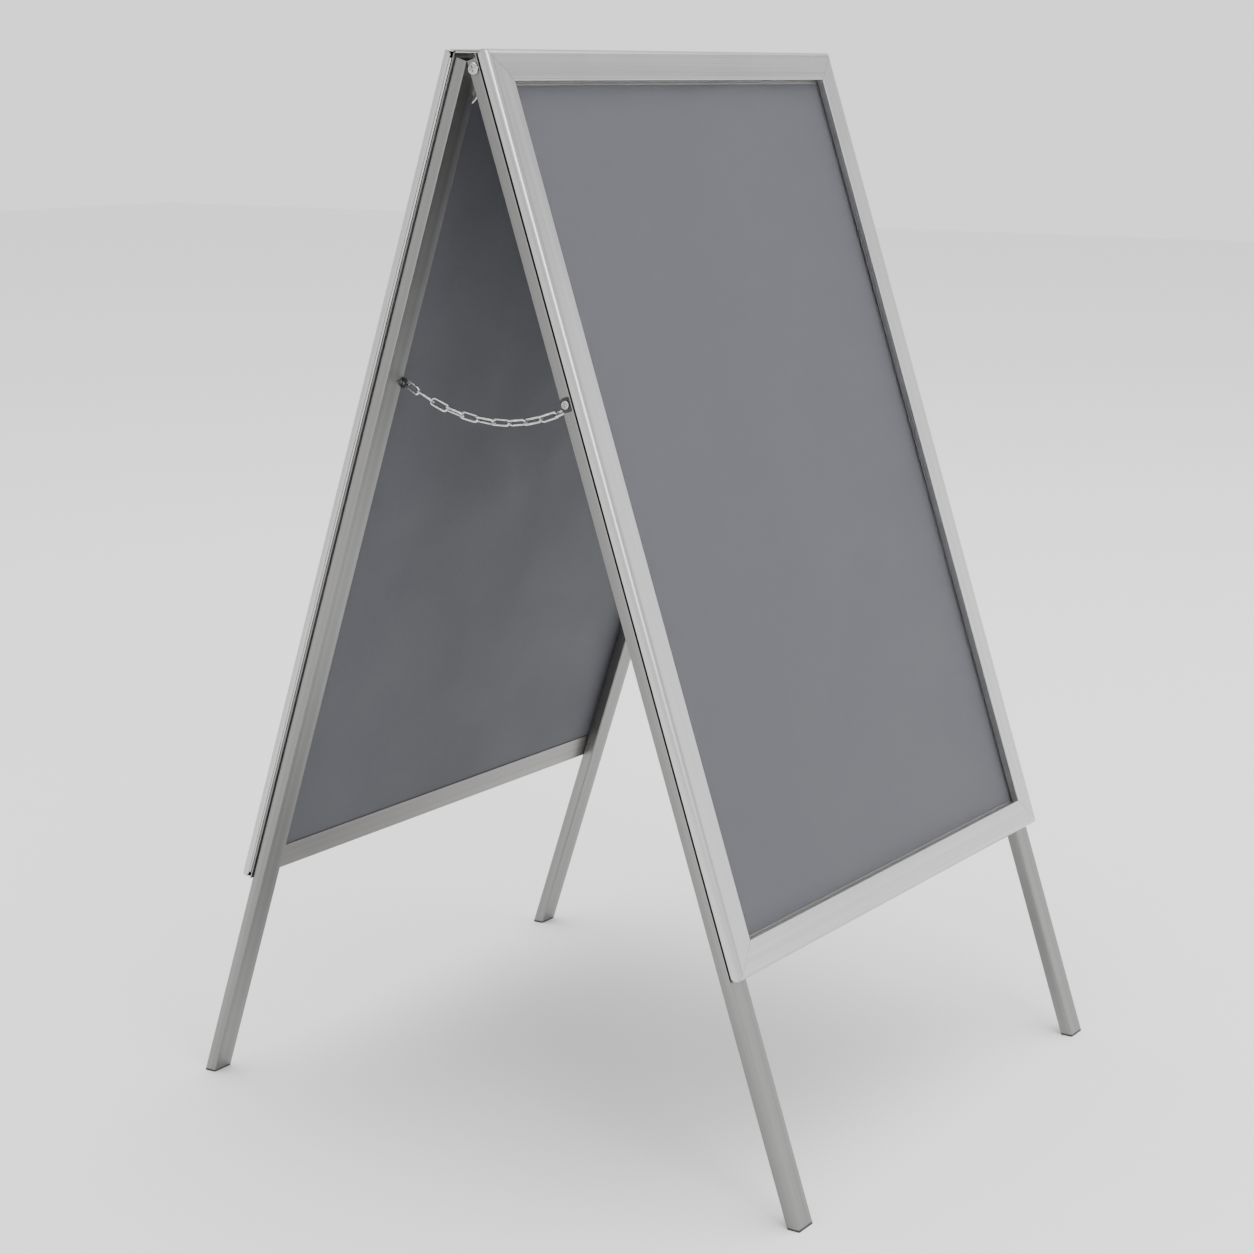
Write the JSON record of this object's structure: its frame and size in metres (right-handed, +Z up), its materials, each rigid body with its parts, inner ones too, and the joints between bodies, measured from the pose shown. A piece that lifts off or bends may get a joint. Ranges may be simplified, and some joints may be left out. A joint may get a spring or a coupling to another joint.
{
  "type": "sandwich board",
  "caption": "A-frame pavement sign: two leaves with snap-open poster frames on tube legs, hinged at the top and held apart by side chains.",
  "frame": {"origin": "on the ground, under the middle of the hinge line between the two leaves", "axes": "+X along the hinge line, +Z up, the front leaf leans out towards -Y and the rear leaf towards +Y"},
  "size_m": [0.638, 0.7354, 1.0688],
  "materials": {
    "leg_tube": "brushed, natural anodised",
    "frame_profile": "satin anodised",
    "snap_cover": "satin silver anodised",
    "back_panel": "matte grey",
    "clear_sheet": "anti-glare matte, clear",
    "black_plastic": "black, fine grain",
    "zinc_plate": "zinc plated",
    "spring_steel": "spring steel",
    "rivet": "plain",
    "bright_steel": "bright zinc",
    "chain": "bright zinc wire"
  },
  "bodies": {
    "front_leaf": {"front_back_panel": "back_panel", "front_base_bottom": "frame_profile", "front_base_left": "frame_profile", "front_base_right": "frame_profile", "front_base_top": "frame_profile", "front_clear_sheet": "clear_sheet", "front_corner_keys": "zinc_plate", "front_foot_caps": "black_plastic", "front_left_leg": "leg_tube", "front_right_leg": "leg_tube", "front_rivets": "rivet", "front_snap_springs": "spring_steel", "hinge_bolts": "bright_steel", "hinge_washers": "black_plastic", "hinge_nuts": "bright_steel", "chain_bolts": "bright_steel", "chain_pads": "black_plastic", "chain_spacers": "black_plastic", "chain_nuts": "bright_steel", "left_chain": "chain", "right_chain": "chain"},
    "rear_leaf": {"rear_back_panel": "back_panel", "rear_base_bottom": "frame_profile", "rear_base_left": "frame_profile", "rear_base_right": "frame_profile", "rear_base_top": "frame_profile", "rear_clear_sheet": "clear_sheet", "rear_corner_keys": "zinc_plate", "rear_foot_caps": "black_plastic", "rear_left_leg": "leg_tube", "rear_right_leg": "leg_tube", "rear_rivets": "rivet", "rear_snap_springs": "spring_steel", "hinge_brackets": "zinc_plate", "chain_tabs": "zinc_plate", "chain_tab_pins": "bright_steel"},
    "front_bottom_snap": {"front_cover_bottom": "snap_cover"},
    "front_right_snap": {"front_cover_right": "snap_cover"},
    "front_top_snap": {"front_cover_top": "snap_cover"},
    "front_left_snap": {"front_cover_left": "snap_cover"},
    "rear_bottom_snap": {"rear_cover_bottom": "snap_cover"},
    "rear_right_snap": {"rear_cover_right": "snap_cover"},
    "rear_top_snap": {"rear_cover_top": "snap_cover"},
    "rear_left_snap": {"rear_cover_left": "snap_cover"}
  },
  "joints": [
    {"name": "fold", "type": "hinge", "parent": "front_leaf", "child": "rear_leaf", "pos_m": [0, -0.00922, 1.05091], "axis": [-1, 0, 0], "range_deg": [0, 37], "deforming": ["left_chain", "right_chain"]},
    {"name": "front_bottom_cover_hinge", "type": "hinge", "parent": "front_leaf", "child": "front_bottom_snap", "pos_m": [0, -0.29523, 0.23173], "axis": [1, 0, 0], "range_deg": [0, 90]},
    {"name": "front_right_cover_hinge", "type": "hinge", "parent": "front_leaf", "child": "front_right_snap", "pos_m": [0.3156, -0.1559, 0.64814], "axis": [0, 0.3173, 0.9483], "range_deg": [0, 90]},
    {"name": "front_top_cover_hinge", "type": "hinge", "parent": "front_leaf", "child": "front_top_snap", "pos_m": [0, -0.01657, 1.06455], "axis": [-1, 0, 0], "range_deg": [0, 90]},
    {"name": "front_left_cover_hinge", "type": "hinge", "parent": "front_leaf", "child": "front_left_snap", "pos_m": [-0.3156, -0.1559, 0.64814], "axis": [0, -0.3173, -0.9483], "range_deg": [0, 90]},
    {"name": "rear_bottom_cover_hinge", "type": "hinge", "parent": "rear_leaf", "child": "rear_bottom_snap", "pos_m": [0, 0.29523, 0.23173], "axis": [-1, 0, 0], "range_deg": [0, 90]},
    {"name": "rear_right_cover_hinge", "type": "hinge", "parent": "rear_leaf", "child": "rear_right_snap", "pos_m": [-0.3156, 0.1559, 0.64814], "axis": [0, -0.3173, 0.9483], "range_deg": [0, 90]},
    {"name": "rear_top_cover_hinge", "type": "hinge", "parent": "rear_leaf", "child": "rear_top_snap", "pos_m": [0, 0.01657, 1.06455], "axis": [1, 0, 0], "range_deg": [0, 90]},
    {"name": "rear_left_cover_hinge", "type": "hinge", "parent": "rear_leaf", "child": "rear_left_snap", "pos_m": [0.3156, 0.1559, 0.64814], "axis": [0, 0.3173, -0.9483], "range_deg": [0, 90]}
  ]
}
